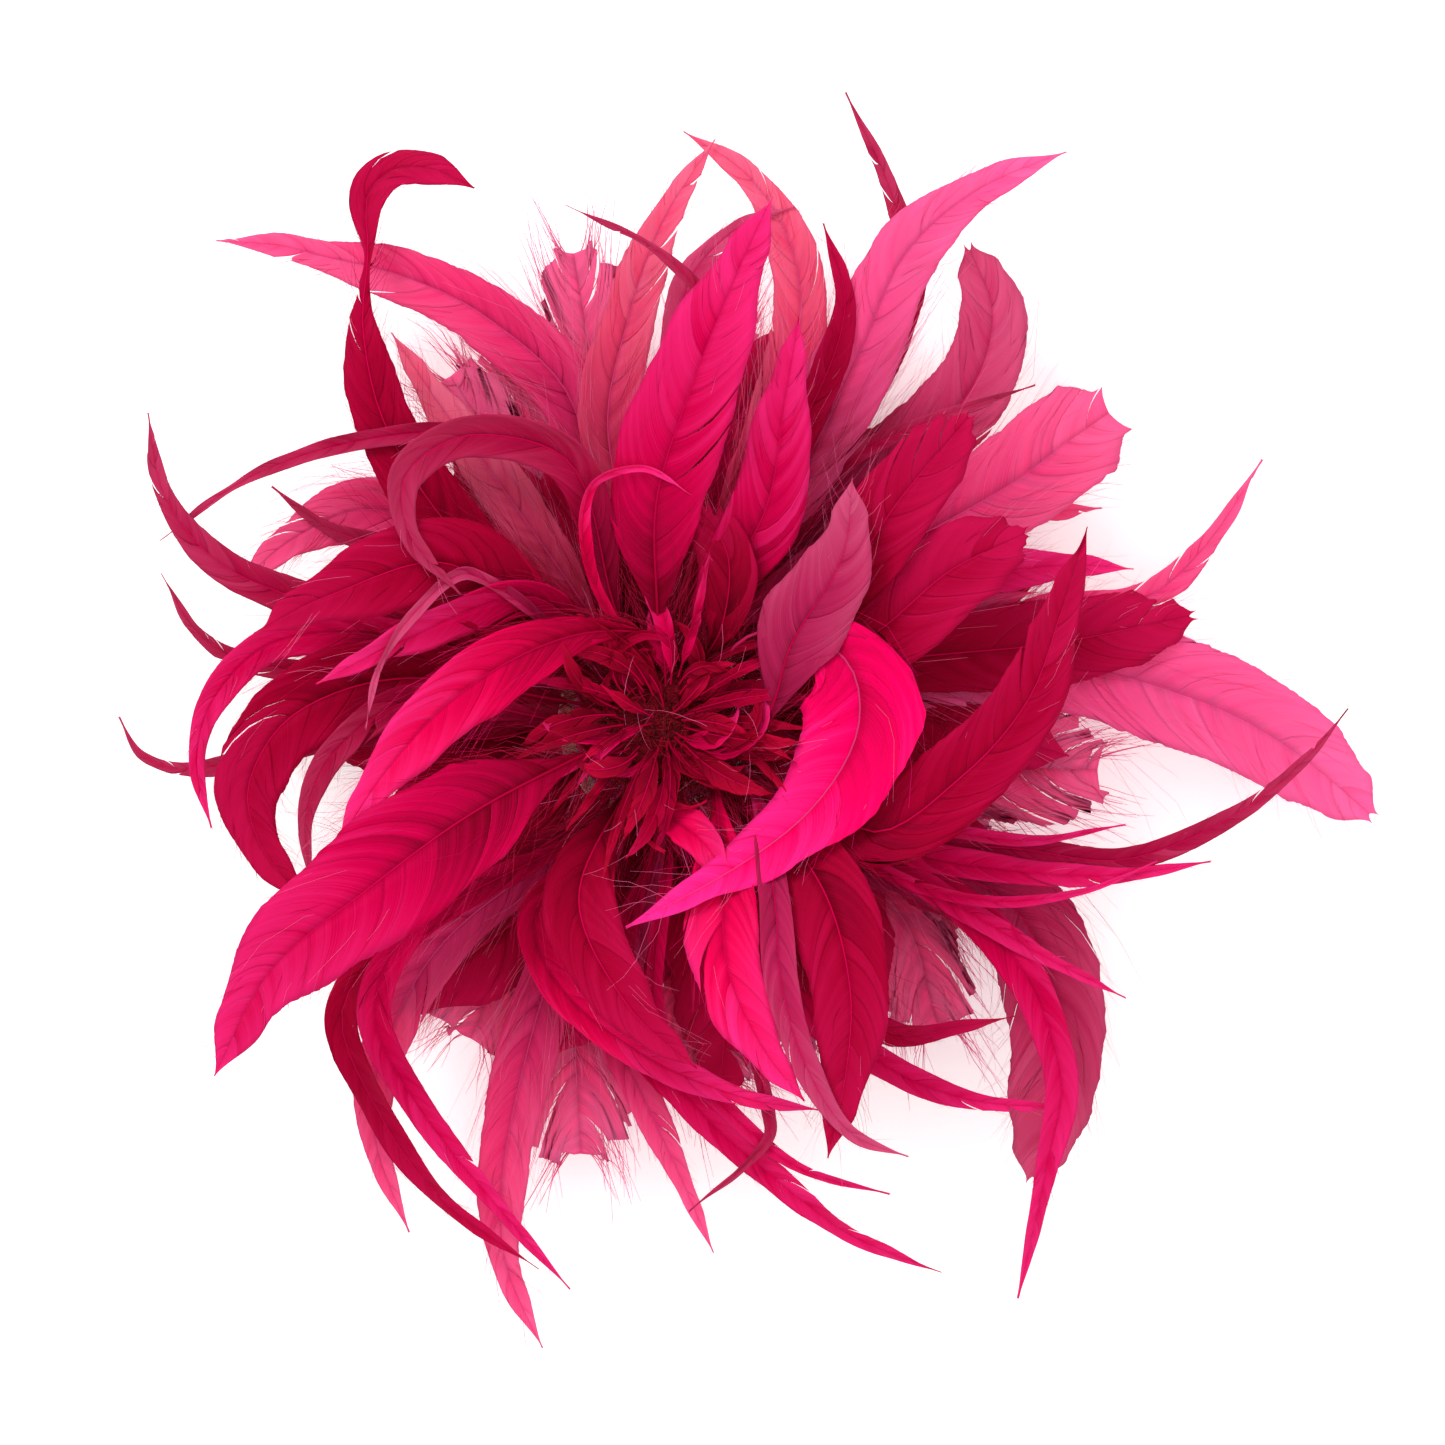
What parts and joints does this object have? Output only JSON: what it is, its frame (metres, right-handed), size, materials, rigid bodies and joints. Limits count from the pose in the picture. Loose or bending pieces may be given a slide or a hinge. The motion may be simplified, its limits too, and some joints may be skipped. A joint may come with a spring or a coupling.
{
  "type": "feather flower corsage",
  "caption": "Round puff of dyed feathers wound on a felt roll, backed with felt that carries a sprung hair clip and a brooch pin.",
  "frame": {"origin": "centre of the hair clip's moving jaw on its flat outer face, under the eye of the flower", "axes": "+Z out of the flower's face, along its shortest extent; +X along the clip from its tip to its thumb tail; +Y up the flower as worn"},
  "size_m": [0.1792, 0.1799, 0.0515],
  "materials": {
    "outer_feathers": "pale translucent pink dyed feather",
    "middle_feathers": "magenta dyed feather with a soft sheen",
    "inner_feathers": "saturated magenta dyed feather",
    "hackles": "dusky rose dyed biot feathers",
    "down": "pale pink down",
    "felt": "pressed craft felt",
    "buckram": "stiffened open weave",
    "glue": "set hot-melt glue",
    "cord": "twisted cord",
    "thread": "sewing thread",
    "clip_steel": "nickel-plated pressed steel",
    "pin_steel": "nickel-plated wire and bar"
  },
  "bodies": {
    "flower": {"bar_stitches": "thread", "buckram_base": "buckram", "clip_fixed_jaw": "clip_steel", "clip_pivot_pin": "clip_steel", "clip_spring": "clip_steel", "clip_strap": "felt", "down_plumes": "down", "felt_backing": "felt", "felt_roll": "felt", "glue_pad": "glue", "inner_feather_01": "inner_feathers", "inner_feather_02": "inner_feathers", "inner_feather_03": "inner_feathers", "inner_feather_04": "inner_feathers", "inner_feather_05": "inner_feathers", "inner_feather_06": "inner_feathers", "inner_feather_07": "inner_feathers", "inner_feather_08": "inner_feathers", "inner_feather_09": "inner_feathers", "inner_feather_10": "inner_feathers", "inner_feather_11": "inner_feathers", "inner_feather_12": "inner_feathers", "inner_feather_13": "inner_feathers", "inner_fill": "hackles", "middle_feather_01": "middle_feathers", "middle_feather_02": "middle_feathers", "middle_feather_03": "middle_feathers", "middle_feather_04": "middle_feathers", "middle_feather_05": "middle_feathers", "middle_feather_06": "middle_feathers", "middle_feather_07": "middle_feathers", "middle_feather_08": "middle_feathers", "middle_feather_09": "middle_feathers", "middle_feather_10": "middle_feathers", "middle_feather_11": "middle_feathers", "middle_hackles_bottom": "hackles", "middle_hackles_right": "hackles", "middle_hackles_top": "hackles", "outer_feather_01": "outer_feathers", "outer_feather_02": "outer_feathers", "outer_feather_03": "outer_feathers", "outer_feather_04": "outer_feathers", "outer_feather_05": "outer_feathers", "outer_feather_06": "outer_feathers", "outer_feather_07": "outer_feathers", "outer_feather_08": "outer_feathers", "outer_feather_09": "outer_feathers", "outer_feather_10": "outer_feathers", "outer_feather_11": "outer_feathers", "outer_feather_12": "outer_feathers", "outer_fill": "hackles", "outer_hackles_bottom": "hackles", "outer_hackles_left": "hackles", "outer_hackles_top": "hackles", "pin_bar": "pin_steel", "pin_rivet": "pin_steel", "stringing_cord": "cord"},
    "clip_jaw": {"clip_moving_jaw": "clip_steel"},
    "brooch_pin": {"pin_stem": "pin_steel"},
    "pin_catch": {"catch_rotor": "pin_steel"}
  },
  "joints": [
    {"name": "clip_opening", "type": "hinge", "parent": "flower", "child": "clip_jaw", "pos_m": [0.012, 0, 0.0025], "axis": [0, -1, 0], "range_deg": [0, 35], "stiffness_Nm_per_rad": 0.05, "springref_deg": -57.3, "deforming": ["clip_spring"]},
    {"name": "brooch_pin_swing", "type": "hinge", "parent": "flower", "child": "brooch_pin", "pos_m": [0.014, -0.0125, 0.002], "axis": [0, -1, 0], "range_deg": [0, 80]},
    {"name": "catch_turn", "type": "hinge", "parent": "flower", "child": "pin_catch", "pos_m": [-0.014, -0.0125, 0.002], "axis": [-1, 0, 0], "range_deg": [0, 96]}
  ]
}
